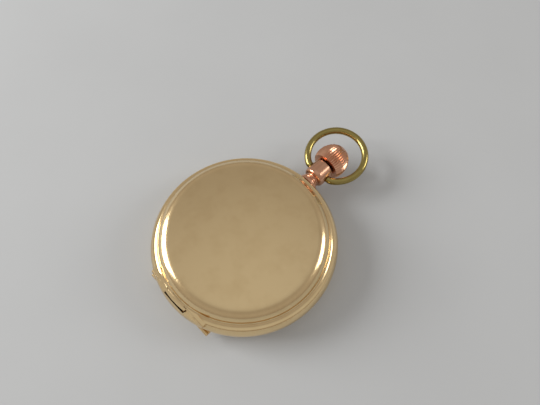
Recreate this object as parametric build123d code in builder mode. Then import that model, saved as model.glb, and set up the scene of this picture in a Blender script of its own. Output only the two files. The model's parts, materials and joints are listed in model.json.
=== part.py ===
from build123d import *
import math
import os

# Open face pocket watch, lying face down: +Z is the back, +Y the pendant (12 o'clock), and the
# origin is the point of the case axis where the flat of the glass rests. Millimetres.
# Seen from the dial, clockwise is a positive turn about +Z.

os.makedirs("parts", exist_ok=True)

# ---- Driving dimensions of the case ------------------------------------------------------------
RIM_R = 25.0  # widest circle of the case band
RIM_Z = 6.4  # its height, also the height of the stem
BAND_BACK_Z = 9.0  # seat of the back cover
BAND_FRONT_Z = 4.0  # seat of the bezel
SEAT_R = 24.1  # outer edge of both seats
BORE_R = 21.6  # bore that takes the movement
LEDGE_R = 20.75  # ledge that the movement seats against
LEDGE_T = 0.8
NECK_R = 21.9  # snap neck under the back cover
NECK_H = 0.7
FRONT_NECK_R = 22.3  # snap neck inside the bezel
FRONT_NECK_H = 0.6
SNAP = 0.05  # radial clearance of the snap fits
GAP_LINE = 0.14  # open line under the flange of the back cover

BACK_R = 24.0  # flange of the back cover
BACK_TOP_Z = 13.8
FLANGE_EDGE_T = 0.28
WALL_FOOT_R = 22.42
WALL_FOOT_Z = 10.0
SHOULDER_R = 3.6
DOME_R = 240.0
COVER_T = 0.5
CUVETTE_T = 0.35
CUVETTE_TOP_Z = 11.75
CUVETTE_R = 21.3
CUVETTE_WALL_R = 20.2

HINGE_Y = -22.65  # axis of the joint shared by back cover and cuvette
HINGE_Z = 8.85
TUBE_R = 0.48
HINGE_HALF = 9.8
KNUCKLE_X = 3.65  # where the cover's outer knuckles start
CUVETTE_KNUCKLE_X = 1.5
PIN_R = 0.24
PIN_FIT = 0.02  # radial clearance of pins in their knuckles
KNUCKLE_GAP = 0.08
RELIEF = 0.12  # clearance round a tube

BEZEL_HINGE_Y = -23.3
BEZEL_HINGE_Z = 3.95
BEZEL_TUBE_R = 0.5
BEZEL_HINGE_HALF = 10.9
BEZEL_KNUCKLE_X = 4.4
BEZEL_T = 0.7
BEZEL_LOW_Z = 0.95
BEZEL_SIGHT_R = 19.5

GLASS_R = 20.2
GLASS_T = 1.6
GLASS_FLAT_R = 17.4
GLASS_BEVEL_Z = 0.9
GLASS_EDGE_Z = 1.15
GLASS_FIT = 0.04

PENDANT_TENON_R = 2.0
PENDANT_COLLAR_R = 2.75
PENDANT_COLLAR_Y = 24.3
PENDANT_BORE_R = 1.3
BARREL_R = 3.2
PENDANT_TOP_Y = 32.0
BOW_PIVOT_Y = 29.7
BOW_CENTRE_Y = 37.0
BOW_R = 8.3
BOW_WIRE_R = 1.0
BOW_STUB_X = 3.4
BOW_PIN_R = 0.6
BOW_PIN_FIT = 0.03
BOW_TILT = 7.0
CROWN_Y = 32.25
CROWN_TOP_Y = 39.75
CROWN_R = 4.85
CROWN_RIBS = 40
CROWN_RIB_DEPTH = 0.32
STEM_R = 0.6
STEM_END_Y = 12.4
RUN = 0.03  # running fit of small shafts

STEM_AXIS = Axis((0, 0, RIM_Z), (0, 1, 0))
STEM_PLANE = Plane(origin=(0, 0, RIM_Z), x_dir=(0, 1, 0), z_dir=(1, 0, 0))
BACK_HINGE_PLANE = Plane(origin=(0, HINGE_Y, HINGE_Z), x_dir=(0, 1, 0), z_dir=(1, 0, 0))
BEZEL_HINGE_PLANE = Plane(
    origin=(0, BEZEL_HINGE_Y, BEZEL_HINGE_Z), x_dir=(0, 1, 0), z_dir=(1, 0, 0)
)


def save(name, piece):
    """Label a finished piece and write it to its own file."""
    piece.label = name
    export_step(piece, f"parts/{name}.step")


def tube_plane(plane, x):
    """The plane across a hinge at distance x from the middle."""
    return plane.offset(x)


# ---- Case band ---------------------------------------------------------------------------------
with BuildPart() as case_band:
    with BuildSketch(Plane.XZ):
        with BuildLine():
            Polyline(
                (FRONT_NECK_R, BAND_FRONT_Z),
                (SEAT_R, BAND_FRONT_Z),
            )
            ThreePointArc((SEAT_R, BAND_FRONT_Z), (RIM_R, RIM_Z), (SEAT_R, BAND_BACK_Z - GAP_LINE))
            Polyline(
                (SEAT_R, BAND_BACK_Z - GAP_LINE),
                (BACK_R - 0.55, BAND_BACK_Z - GAP_LINE),
                (BACK_R - 0.7, BAND_BACK_Z),
                (NECK_R, BAND_BACK_Z),
                (NECK_R, BAND_BACK_Z + NECK_H),
                (NECK_R - 0.7, BAND_BACK_Z + NECK_H),
                (NECK_R - 0.7, RIM_Z + LEDGE_T),
                (LEDGE_R, RIM_Z + LEDGE_T),
                (LEDGE_R, RIM_Z),
                (BORE_R, RIM_Z),
                (BORE_R, BAND_FRONT_Z - FRONT_NECK_H),
                (FRONT_NECK_R, BAND_FRONT_Z - FRONT_NECK_H),
                (FRONT_NECK_R, BAND_FRONT_Z),
            )
        make_face()
    revolve(axis=Axis.Z)
    # seat and hole for the pendant, and the way for the stem
    with BuildSketch(Plane.XZ.offset(-PENDANT_COLLAR_Y)):
        with Locations((0, RIM_Z)):
            Circle(PENDANT_COLLAR_R)
    extrude(amount=-3, mode=Mode.SUBTRACT)
    with BuildSketch(Plane.XZ.offset(-19.0)):
        with Locations((0, RIM_Z)):
            Circle(PENDANT_TENON_R)
    extrude(amount=-8, mode=Mode.SUBTRACT)
    # pocket where the flange of the back cover swings, and the notch for the cover's knuckles
    with BuildSketch(tube_plane(BACK_HINGE_PLANE, -KNUCKLE_X)):
        Circle(BACK_R + HINGE_Y + 0.28)
    extrude(amount=2 * KNUCKLE_X, mode=Mode.SUBTRACT)
    for side in (-1, 1):
        with BuildSketch(tube_plane(BACK_HINGE_PLANE, side * KNUCKLE_X)):
            Circle(TUBE_R + RELIEF)
            with Locations((-1.5, 0.0)):
                Rectangle(3.0, 2 * (TUBE_R + RELIEF))
        extrude(amount=side * (HINGE_HALF - KNUCKLE_X + 0.25), mode=Mode.SUBTRACT)
    # the band's own two knuckles of the back joint, each with its web
    for side in (-1, 1):
        with BuildSketch(tube_plane(BACK_HINGE_PLANE, side * (CUVETTE_KNUCKLE_X + KNUCKLE_GAP))):
            Circle(TUBE_R)
            with Locations((1.0, -0.05 - TUBE_R / 2)):
                Rectangle(2.0, TUBE_R - 0.1)
        extrude(amount=side * (KNUCKLE_X - CUVETTE_KNUCKLE_X - 2 * KNUCKLE_GAP))
    with BuildSketch(tube_plane(BACK_HINGE_PLANE, -HINGE_HALF)):
        Circle(PIN_R + PIN_FIT)
    extrude(amount=2 * HINGE_HALF, mode=Mode.SUBTRACT)
    # pocket for the bezel joint and the band's middle knuckle
    with BuildSketch(tube_plane(BEZEL_HINGE_PLANE, -BEZEL_HINGE_HALF - 0.2)):
        Circle(BEZEL_TUBE_R + RELIEF)
        with Locations((-1.5, 0)):
            Rectangle(3.0, 2 * (BEZEL_TUBE_R + RELIEF))
    extrude(amount=2 * BEZEL_HINGE_HALF + 0.4, mode=Mode.SUBTRACT)
    with BuildSketch(tube_plane(BEZEL_HINGE_PLANE, -BEZEL_KNUCKLE_X + KNUCKLE_GAP)):
        Circle(BEZEL_TUBE_R)
        with Locations((0.0, 0.35)):
            Rectangle(2 * BEZEL_TUBE_R, 0.7)
    extrude(amount=2 * (BEZEL_KNUCKLE_X - KNUCKLE_GAP))
    with BuildSketch(tube_plane(BEZEL_HINGE_PLANE, -BEZEL_HINGE_HALF)):
        Circle(PIN_R + PIN_FIT)
    extrude(amount=2 * BEZEL_HINGE_HALF, mode=Mode.SUBTRACT)
save("case_band", case_band.part)

# ---- Back cover --------------------------------------------------------------------------------
shoulder_r = WALL_FOOT_R - math.sqrt(SHOULDER_R**2 - (WALL_FOOT_Z - 9.46) ** 2)
shoulder_z = 9.46
dome_z = BACK_TOP_Z - DOME_R
# the dome circle and the shoulder circle touch at this angle from the axis
lean = math.atan2(shoulder_r, shoulder_z - dome_z)


def shoulder_point(radius, angle):
    """A point of the shoulder's circle of this radius; angle from +R towards +Z, in radians."""
    return (shoulder_r + radius * math.cos(angle), shoulder_z + radius * math.sin(angle))


def cover_wall(inset, foot_angle):
    """Dome and shoulder of the back cover, inset from the outside."""
    top = shoulder_point(SHOULDER_R - inset, math.pi / 2 - lean)
    middle = shoulder_point(SHOULDER_R - inset, math.pi / 4)
    foot = shoulder_point(SHOULDER_R - inset, foot_angle)
    sag = top[0] ** 2 / 8 / DOME_R
    ThreePointArc(
        (0, BACK_TOP_Z - inset),
        (top[0] / 2, (BACK_TOP_Z - inset + top[1]) / 2 + sag),
        top,
    )
    ThreePointArc(top, middle, foot)
    return foot


foot_angle = math.asin((WALL_FOOT_Z - shoulder_z) / SHOULDER_R)
with BuildPart() as back_cover:
    with BuildSketch(Plane.XZ):
        with BuildLine():
            foot = cover_wall(0, foot_angle)
            inner_foot = cover_wall(COVER_T, foot_angle)
            ThreePointArc(
                foot,
                (foot[0] + 0.42, foot[1] - 0.47),
                (BACK_R - 0.1, BAND_BACK_Z + FLANGE_EDGE_T),
            )
            Polyline(
                (BACK_R - 0.1, BAND_BACK_Z + FLANGE_EDGE_T),
                (BACK_R, BAND_BACK_Z + FLANGE_EDGE_T - 0.1),
                (BACK_R, BAND_BACK_Z),
                (NECK_R + SNAP, BAND_BACK_Z),
                (NECK_R + SNAP, inner_foot[1]),
                inner_foot,
            )
            Line((0, BACK_TOP_Z - COVER_T), (0, BACK_TOP_Z))
        make_face()
    revolve(axis=Axis.Z)
    # straight cut of the flange at the two outer knuckles, and room over the inner ones
    for side in (-1, 1):
        with BuildSketch(tube_plane(BACK_HINGE_PLANE, side * KNUCKLE_X)):
            with Locations((-3.0 - TUBE_R, 0.5)):
                Rectangle(6.0, 3.0)
        extrude(amount=side * (HINGE_HALF - KNUCKLE_X), mode=Mode.SUBTRACT)
    with BuildSketch(tube_plane(BACK_HINGE_PLANE, -KNUCKLE_X)):
        Circle(TUBE_R + RELIEF)
        with Locations((0.7, 0.0)):
            Rectangle(1.4, 2 * (TUBE_R + RELIEF) - 0.2)
    extrude(amount=2 * KNUCKLE_X, mode=Mode.SUBTRACT)
    # room for the cuvette's ear under the wall
    with BuildSketch(tube_plane(BACK_HINGE_PLANE, -CUVETTE_KNUCKLE_X - RELIEF)):
        with Locations((0.45, 0.4)):
            Rectangle(1.1, 0.94)
    extrude(amount=2 * (CUVETTE_KNUCKLE_X + RELIEF), mode=Mode.SUBTRACT)
    # the two outer knuckles with their webs
    for side in (-1, 1):
        with BuildSketch(tube_plane(BACK_HINGE_PLANE, side * (KNUCKLE_X + KNUCKLE_GAP))):
            Circle(TUBE_R)
            with Locations((0.35, 0.4)):
                Rectangle(0.7 + TUBE_R - 0.35, 0.5)
        extrude(amount=side * (HINGE_HALF - KNUCKLE_X - KNUCKLE_GAP))
    with BuildSketch(tube_plane(BACK_HINGE_PLANE, -HINGE_HALF)):
        Circle(PIN_R + PIN_FIT)
    extrude(amount=2 * HINGE_HALF, mode=Mode.SUBTRACT)
save("back_cover", back_cover.part)

# ---- Cuvette, the inner dust cover -------------------------------------------------------------
CUVETTE_SEAT_Z = BAND_BACK_Z + NECK_H
with BuildPart() as cuvette:
    with BuildSketch(Plane.XZ):
        with BuildLine():
            Polyline(
                (0, CUVETTE_TOP_Z),
                (CUVETTE_WALL_R - 0.5, CUVETTE_TOP_Z - 0.1),
                (CUVETTE_WALL_R, CUVETTE_TOP_Z - 0.6),
                (CUVETTE_WALL_R, CUVETTE_SEAT_Z + CUVETTE_T),
                (CUVETTE_R + 0.3, CUVETTE_SEAT_Z + CUVETTE_T),
                (CUVETTE_R + 0.3, CUVETTE_SEAT_Z),
                (CUVETTE_WALL_R - CUVETTE_T, CUVETTE_SEAT_Z),
                (CUVETTE_WALL_R - CUVETTE_T, CUVETTE_TOP_Z - 0.6 - 0.1),
                (CUVETTE_WALL_R - 0.5 - 0.15, CUVETTE_TOP_Z - 0.1 - CUVETTE_T),
                (0, CUVETTE_TOP_Z - CUVETTE_T),
                (0, CUVETTE_TOP_Z),
            )
        make_face()
    revolve(axis=Axis.Z)
    # thumb nick near the pendant
    with BuildSketch(Plane.XY.offset(CUVETTE_SEAT_Z - 0.1)):
        with Locations((0, CUVETTE_R + 1.1)):
            Circle(1.6)
    extrude(amount=1.0, mode=Mode.SUBTRACT)
    with BuildSketch(tube_plane(BACK_HINGE_PLANE, -CUVETTE_KNUCKLE_X)):
        Circle(TUBE_R)
        with BuildLine():
            Polyline(
                (-0.2, 0.3),
                (0.3, 0.5),
                (0.85, 0.75),
                (1.05, CUVETTE_SEAT_Z + CUVETTE_T - HINGE_Z),
                (1.6, CUVETTE_SEAT_Z + CUVETTE_T - HINGE_Z),
                (1.6, CUVETTE_SEAT_Z - HINGE_Z),
                (1.2, CUVETTE_SEAT_Z - HINGE_Z),
                (1.0, 0.5),
                (0.5, 0.1),
                (0.0, -0.2),
                (-0.2, 0.3),
            )
        make_face()
    extrude(amount=2 * CUVETTE_KNUCKLE_X)
    with BuildSketch(tube_plane(BACK_HINGE_PLANE, -CUVETTE_KNUCKLE_X)):
        Circle(PIN_R + PIN_FIT)
    extrude(amount=2 * CUVETTE_KNUCKLE_X, mode=Mode.SUBTRACT)
save("cuvette", cuvette.part)

# ---- Hinge pins --------------------------------------------------------------------------------
with BuildPart() as back_hinge_pin:
    with BuildSketch(tube_plane(BACK_HINGE_PLANE, -HINGE_HALF + 0.1)):
        Circle(PIN_R)
    extrude(amount=2 * HINGE_HALF - 0.2)
save("back_hinge_pin", back_hinge_pin.part)

with BuildPart() as bezel_hinge_pin:
    with BuildSketch(tube_plane(BEZEL_HINGE_PLANE, -BEZEL_HINGE_HALF + 0.1)):
        Circle(PIN_R)
    extrude(amount=2 * BEZEL_HINGE_HALF - 0.2)
save("bezel_hinge_pin", bezel_hinge_pin.part)

# ---- Bezel and glass ---------------------------------------------------------------------------
with BuildPart() as bezel:
    with BuildSketch(Plane.XZ):
        with BuildLine():
            Line((FRONT_NECK_R + SNAP, BAND_FRONT_Z), (SEAT_R, BAND_FRONT_Z))
            ThreePointArc(
                (SEAT_R, BAND_FRONT_Z),
                (SEAT_R - 0.85, BEZEL_LOW_Z + 1.2),
                (GLASS_R + 1.0, BEZEL_LOW_Z),
            )
            Polyline(
                (GLASS_R + 1.0, BEZEL_LOW_Z),
                (GLASS_R + GLASS_FIT, BEZEL_LOW_Z),
                (GLASS_R + GLASS_FIT, GLASS_T),
                (BEZEL_SIGHT_R, GLASS_T),
                (BEZEL_SIGHT_R, GLASS_T + 0.35),
                (BORE_R - 0.4, BAND_FRONT_Z - FRONT_NECK_H - 0.45),
                (BORE_R - 0.4, BAND_FRONT_Z - FRONT_NECK_H - 0.1),
                (FRONT_NECK_R + SNAP, BAND_FRONT_Z - FRONT_NECK_H - 0.1),
                (FRONT_NECK_R + SNAP, BAND_FRONT_Z),
            )
        make_face()
    revolve(axis=Axis.Z)
    # cut flush behind the joint so that it swings clear of the band
    with BuildSketch(tube_plane(BEZEL_HINGE_PLANE, -BEZEL_HINGE_HALF)):
        with Locations((-1.6, -1.0)):
            Rectangle(3.0, 4.0)
    extrude(amount=2 * BEZEL_HINGE_HALF, mode=Mode.SUBTRACT)
    # room for the band's middle knuckle, and the two outer knuckles
    with BuildSketch(tube_plane(BEZEL_HINGE_PLANE, -BEZEL_KNUCKLE_X)):
        Circle(BEZEL_TUBE_R + RELIEF)
        with Locations((-1.5, 0)):
            Rectangle(3.0, 2 * (BEZEL_TUBE_R + RELIEF))
    extrude(amount=2 * BEZEL_KNUCKLE_X, mode=Mode.SUBTRACT)
    for side in (-1, 1):
        with BuildSketch(tube_plane(BEZEL_HINGE_PLANE, side * (BEZEL_KNUCKLE_X + KNUCKLE_GAP))):
            Circle(BEZEL_TUBE_R)
            with Locations((0.55, -0.35)):
                Rectangle(1.1, 0.6)
        extrude(amount=side * (BEZEL_HINGE_HALF - BEZEL_KNUCKLE_X - KNUCKLE_GAP))
    with BuildSketch(tube_plane(BEZEL_HINGE_PLANE, -BEZEL_HINGE_HALF)):
        Circle(PIN_R + PIN_FIT)
    extrude(amount=2 * BEZEL_HINGE_HALF, mode=Mode.SUBTRACT)
save("bezel", bezel.part)

with BuildPart() as crystal:
    with BuildSketch(Plane.XZ):
        with BuildLine():
            Polyline(
                (0, 0),
                (GLASS_FLAT_R, 0),
                (GLASS_R - 0.4, GLASS_BEVEL_Z),
                (GLASS_R, GLASS_EDGE_Z),
                (GLASS_R, GLASS_T),
                (0, GLASS_T),
                (0, 0),
            )
        make_face()
    revolve(axis=Axis.Z)
save("crystal", crystal.part)

# ---- Pendant, sleeve, crown, stem and bow ------------------------------------------------------
with BuildPart() as pendant:
    with BuildSketch(STEM_PLANE):
        with BuildLine():
            Polyline(
                (BORE_R + 0.4, PENDANT_BORE_R),
                (BORE_R + 0.4, PENDANT_TENON_R),
                (PENDANT_COLLAR_Y, PENDANT_TENON_R),
                (PENDANT_COLLAR_Y, PENDANT_COLLAR_R),
                (25.0, PENDANT_COLLAR_R),
            )
            ThreePointArc((25.0, PENDANT_COLLAR_R), (25.354, PENDANT_COLLAR_R - 0.146), (25.5, 2.25))
            Line((25.5, 2.25), (25.5, 2.1))
            ThreePointArc((25.5, 2.1), (25.8, 2.4), (26.1, 2.1))
            ThreePointArc((26.1, 2.1), (26.5, 1.9), (26.8, 2.3))
            ThreePointArc((26.8, 2.3), (26.95, 2.8), (27.4, 3.1))
            Polyline((27.4, 3.1), (28.0, BARREL_R), (PENDANT_TOP_Y - 0.3, BARREL_R - 0.1))
            Polyline(
                (PENDANT_TOP_Y - 0.3, BARREL_R - 0.1),
                (PENDANT_TOP_Y, BARREL_R - 0.4),
                (PENDANT_TOP_Y, PENDANT_BORE_R),
                (BORE_R + 0.4, PENDANT_BORE_R),
            )
        make_face()
    revolve(axis=STEM_AXIS)
    # holes for the turned ends of the bow
    with BuildSketch(Plane.YZ.offset(-BARREL_R - 0.5)):
        with Locations((BOW_PIVOT_Y, RIM_Z)):
            Circle(BOW_PIN_R + BOW_PIN_FIT)
    extrude(amount=2 * BARREL_R + 1.0, mode=Mode.SUBTRACT)
save("pendant", pendant.part)

with BuildPart() as pendant_sleeve:
    with BuildSketch(STEM_PLANE):
        with Locations((24.6, (PENDANT_BORE_R + STEM_R + RUN) / 2)):
            Rectangle(4.6, PENDANT_BORE_R - STEM_R - RUN)
    revolve(axis=STEM_AXIS)
save("pendant_sleeve", pendant_sleeve.part)

# fluted crown: scalloped sections whose radius follows the round profile
CROWN_STATIONS = 9


def crown_radius(share):
    """Radius of the crown at a share of its length, fullest a third of the way up."""
    shift = 0.16 * math.sin(math.pi * share)
    return CROWN_R * math.sqrt(max(0.0, 1 - ((share - 0.36 + shift * 0.2) / 0.72) ** 2))


def crown_section(radius, depth):
    """Corners of one ribbed section, a crest and a valley for each rib."""
    corners = []
    for step in range(2 * CROWN_RIBS):
        r = radius if step % 2 == 0 else radius - depth
        angle = math.pi * step / CROWN_RIBS
        corners.append((r * math.cos(angle), r * math.sin(angle)))
    return corners


with BuildPart() as crown:
    for station in range(CROWN_STATIONS):
        share = 0.02 + 0.95 * station / (CROWN_STATIONS - 1)
        radius = crown_radius(share)
        depth = CROWN_RIB_DEPTH * radius / CROWN_R
        height = CROWN_Y + share * (CROWN_TOP_Y - CROWN_Y)
        with BuildSketch(Plane(origin=(0, height, RIM_Z), x_dir=(1, 0, 0), z_dir=(0, 1, 0))):
            Polygon(*crown_section(radius, depth), align=None)
    loft(ruled=True)
    with BuildSketch(Plane(origin=(0, CROWN_Y, RIM_Z), x_dir=(1, 0, 0), z_dir=(0, 1, 0))):
        Circle(STEM_R)
    extrude(amount=5.0, mode=Mode.SUBTRACT)
save("crown", crown.part)

# bow: two short ends in line with the pivot, a small bend each, and the ring between them
reach = BOW_CENTRE_Y - BOW_PIVOT_Y
bend_r = (BOW_R**2 - BOW_STUB_X**2 - reach**2) / (2 * (BOW_R - reach))
BOW_PLANE = Plane(
    origin=(0, BOW_PIVOT_Y, RIM_Z),
    x_dir=(1, 0, 0),
    z_dir=(0, -math.sin(math.radians(BOW_TILT)), math.cos(math.radians(BOW_TILT))),
)


def bow_path():
    """Centre line of the bow from one end round to the other, in the bow's own plane."""
    away = math.hypot(BOW_STUB_X, reach - bend_r)
    touch = (
        BOW_STUB_X * BOW_R / away,
        reach - (reach - bend_r) * BOW_R / away,
    )
    turn = math.atan2(touch[1] - bend_r, touch[0] - BOW_STUB_X)
    half = (turn - math.pi / 2) / 2
    bend = (BOW_STUB_X + bend_r * math.cos(half), bend_r + bend_r * math.sin(half))
    Line((BOW_STUB_X - 0.15, 0), (BOW_STUB_X, 0))
    ThreePointArc((BOW_STUB_X, 0), bend, touch)
    ThreePointArc(touch, (0, reach + BOW_R), (-touch[0], touch[1]))
    ThreePointArc((-touch[0], touch[1]), (-bend[0], bend[1]), (-BOW_STUB_X, 0))
    Line((-BOW_STUB_X, 0), (-BOW_STUB_X + 0.15, 0))


with BuildPart() as bow:
    with BuildLine(BOW_PLANE) as bow_line:
        bow_path()
    with BuildSketch(Plane(origin=bow_line.line @ 0, z_dir=bow_line.line % 0)):
        Circle(BOW_WIRE_R)
    sweep()
    for side in (-1, 1):
        with BuildSketch(Plane.YZ.offset(side * (BOW_STUB_X - 0.1))):
            with Locations((BOW_PIVOT_Y, RIM_Z)):
                Circle(BOW_PIN_R)
        extrude(amount=-side * 1.1)
save("bow", bow.part)

# ---- Driving dimensions of the movement --------------------------------------------------------
DIAL_Z = 3.7
DIAL_T = 0.7
DIAL_R = 21.2
PLATE_Z = DIAL_Z + DIAL_T
PLATE_R = BORE_R - 0.05
PLATE_TOP = RIM_Z
MOTION_DEPTH = 1.05
MOTION_R = 8.2
BRIDGE_Z = 9.0
BRIDGE_T = 1.2
BRIDGE_R = 19.6
SCREW_R = 0.45
HEAD_R = 0.85
HEAD_T = 0.45
JEWEL_R = 0.75
JEWEL_T = 0.45
PIVOT_R = 0.16
ARBOR_R = 0.34
PIVOT_FIT = 0.02

# toothed pairs: teeth and module of wheel and pinion
CENTRE_LEAVES = 10
BARREL_TEETH = 80
BARREL_MODULE = 0.21
THIRD_LEAVES = 8
CENTRE_TEETH = 64
CENTRE_MODULE = 0.2
FOURTH_LEAVES = 8
THIRD_TEETH = 60
THIRD_MODULE = 0.16
ESCAPE_LEAVES = 6
FOURTH_TEETH = 60
FOURTH_MODULE = 0.16
CANNON_LEAVES = 10
MINUTE_TEETH = 30
MINUTE_LEAVES = 8
HOUR_TEETH = 32
MOTION_MODULE = 0.22
CROWN_WHEEL_TEETH = 30
RATCHET_TEETH = 54
WINDING_MODULE = 0.25
WINDING_LEAVES = 14
SECONDS_Y = -9.6
BARREL_ANGLE = 152


def spread(first, second, module):
    """Centre distance of two toothed pieces."""
    return module * (first + second) / 2


def polar(centre, radius, angle):
    """The point at a distance and an angle in degrees from a centre."""
    turn = math.radians(angle)
    return (centre[0] + radius * math.cos(turn), centre[1] + radius * math.sin(turn))


CENTRE = (0.0, 0.0)
BARREL = polar(CENTRE, spread(BARREL_TEETH, CENTRE_LEAVES, BARREL_MODULE), BARREL_ANGLE)
FOURTH = (0.0, SECONDS_Y)
centre_third = spread(CENTRE_TEETH, THIRD_LEAVES, CENTRE_MODULE)
third_fourth = spread(THIRD_TEETH, FOURTH_LEAVES, THIRD_MODULE)
third_y = (third_fourth**2 - centre_third**2 - SECONDS_Y**2) / (-2 * SECONDS_Y)
THIRD = (math.sqrt(centre_third**2 - third_y**2), third_y)
ESCAPE = polar(FOURTH, spread(FOURTH_TEETH, ESCAPE_LEAVES, FOURTH_MODULE), -18)
ESCAPE_R = 3.8
PALLET = polar(ESCAPE, ESCAPE_R / math.cos(math.radians(30)), 30)
BALANCE = (12.8, -4.2)
BALANCE_R = 6.3
RATCHET = BARREL
winding_spread = spread(CROWN_WHEEL_TEETH, RATCHET_TEETH, WINDING_MODULE)
CROWN_WHEEL = (0.0, RATCHET[1] + math.sqrt(winding_spread**2 - RATCHET[0] ** 2))
MINUTE = polar(CENTRE, spread(CANNON_LEAVES, MINUTE_TEETH, MOTION_MODULE), 62)
HOUR_MODULE = 2 * math.hypot(*MINUTE) / (MINUTE_LEAVES + HOUR_TEETH)

# levels of the train between plate and bridge
THIRD_LEVEL = 6.65
ESCAPE_LEVEL = 7.2
FOURTH_LEVEL = 7.7
CENTRE_LEVEL = 8.2
RATCHET_LEVEL = 8.6
WHEEL_T = 0.25
print("third", THIRD, "escape", ESCAPE, "pallet", PALLET, "crown wheel", CROWN_WHEEL)


def teeth_outline(teeth, module, turn, tip=0.9, root=1.1, thick=0.42, point=0.2):
    """Corners of a toothed wheel with straight flanks.

    thick and point are the tooth's share of the tooth spacing at the pitch circle and the tip.
    """
    pitch_r = teeth * module / 2
    spacing = 2 * math.pi / teeth
    tip_r, root_r = pitch_r + tip * module, pitch_r - root * module
    half_tip, half_root = spacing * point / 2, spacing * (thick + 0.12) / 2
    corners = []
    for tooth in range(teeth):
        middle = math.radians(turn) + spacing * tooth
        for radius, shift in (
            (root_r, -half_root),
            (tip_r, -half_tip),
            (tip_r, half_tip),
            (root_r, half_root),
        ):
            corners.append(
                (radius * math.cos(middle + shift), radius * math.sin(middle + shift))
            )
    return corners


def crossed_out(rim_r, hub_r, arms, arm_width, turn=0):
    """Cut the windows between rim and hub, leaving the arms. Used inside a sketch."""
    if arms:
        Circle(rim_r, mode=Mode.SUBTRACT)
        Circle(hub_r)
        for arm in range(arms):
            with PolarLocations(0, 1, start_angle=turn + 360 * arm / arms):
                with Locations((rim_r / 2, 0)):
                    Rectangle(rim_r + 0.1, arm_width)


def toothed_wheel(at, level, outline, rim_r, arms, bore, arm_width=0.45, hub_r=0.9, t=WHEEL_T):
    """A flat wheel with teeth, arms and a bore; used inside a part."""
    with BuildSketch(Plane(origin=(at[0], at[1], level))) as face:
        Polygon(*outline, align=None)
        crossed_out(rim_r, hub_r, arms, arm_width)
        if bore:
            Circle(bore, mode=Mode.SUBTRACT)
    extrude(face.sketch, amount=t)


def disc(at, low, high, radius, mode=Mode.ADD):
    """An upright round of this radius between two heights; used inside a part."""
    with BuildSketch(Plane(origin=(at[0], at[1], low))) as face:
        Circle(radius)
    extrude(face.sketch, amount=high - low, mode=mode)


def pinion(at, low, high, outline):
    """Leaves of a pinion between two heights; used inside a part."""
    with BuildSketch(Plane(origin=(at[0], at[1], low))) as face:
        Polygon(*outline, align=None)
    extrude(face.sketch, amount=high - low)


def arbor(at, low, high, radius=ARBOR_R):
    """An arbor with a thinner pivot at each end; used inside a part."""
    disc(at, low - JEWEL_T, high + JEWEL_T, PIVOT_R)
    disc(at, low + 0.05, high - 0.05, radius)


# ---- Going train -------------------------------------------------------------------------------
# each wheel is turned so that a tooth meets a gap on the line of centres
def bearing(start, end):
    """Direction in degrees from one centre to another."""
    return math.degrees(math.atan2(end[1] - start[1], end[0] - start[0]))


def gap_at(direction, teeth, offset=0.0):
    """Turn that puts a gap of a wheel in this direction."""
    return direction + 180 / teeth + offset


with BuildPart() as barrel_drum:
    drum_outline = teeth_outline(
        BARREL_TEETH, BARREL_MODULE, gap_at(bearing(BARREL, CENTRE), BARREL_TEETH)
    )
    toothed_wheel(BARREL, 6.65, drum_outline, 0, 0, ARBOR_R * 2 + RUN, t=0.5)
    disc(BARREL, 6.65, 8.0, BARREL_TEETH * BARREL_MODULE / 2 - 0.5)
    disc(BARREL, 6.95, 8.0, BARREL_TEETH * BARREL_MODULE / 2 - 0.9, mode=Mode.SUBTRACT)
    disc(BARREL, 6.0, 8.5, ARBOR_R * 2 + RUN, mode=Mode.SUBTRACT)
save("barrel_drum", barrel_drum.part)

BARREL_INNER_R = BARREL_TEETH * BARREL_MODULE / 2 - 0.9
with BuildPart() as barrel_cover:
    disc(BARREL, 7.75, 8.0, BARREL_INNER_R)
    disc(BARREL, 7.5, 8.5, ARBOR_R * 2 + RUN, mode=Mode.SUBTRACT)
save("barrel_cover", barrel_cover.part)

with BuildPart() as barrel_arbor:
    disc(BARREL, PLATE_TOP - 0.8, BRIDGE_Z + 0.6, ARBOR_R * 2)
    disc(BARREL, 7.0, 7.7, 1.6)
save("barrel_arbor", barrel_arbor.part)

# mainspring: a flat strip wound in half turns
MAINSPRING_TURNS = 6
SPRING_T = 0.18


def strip_spiral(centre, inner_r, outer_r, turns, thickness):
    """Outline of a flat strip wound from an inner to an outer radius, in half turns."""
    step = (outer_r - inner_r) / (2 * turns)

    def edge(shift):
        """End points and middles of each half turn of one side."""
        arcs = []
        r = inner_r + shift
        start = (centre[0] + r, centre[1])
        sign = 1
        for _ in range(2 * turns):
            end = (start[0] - sign * (2 * r + step), centre[1])
            mid_x = (start[0] + end[0]) / 2
            arcs.append((start, (mid_x, centre[1] + sign * (r + step / 2)), end))
            start, sign, r = end, -sign, r + step
        return arcs

    inner, outer = edge(-thickness / 2), edge(thickness / 2)
    for arc in inner + outer:
        ThreePointArc(*arc)
    Line(inner[0][0], outer[0][0])
    Line(inner[-1][2], outer[-1][2])


with BuildPart() as mainspring:
    with BuildSketch(Plane.XY.offset(7.0)):
        with BuildLine():
            strip_spiral(BARREL, 1.6 + SPRING_T / 2, BARREL_INNER_R - 0.2, MAINSPRING_TURNS, SPRING_T)
        make_face()
    extrude(amount=0.7)
save("mainspring", mainspring.part)

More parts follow.
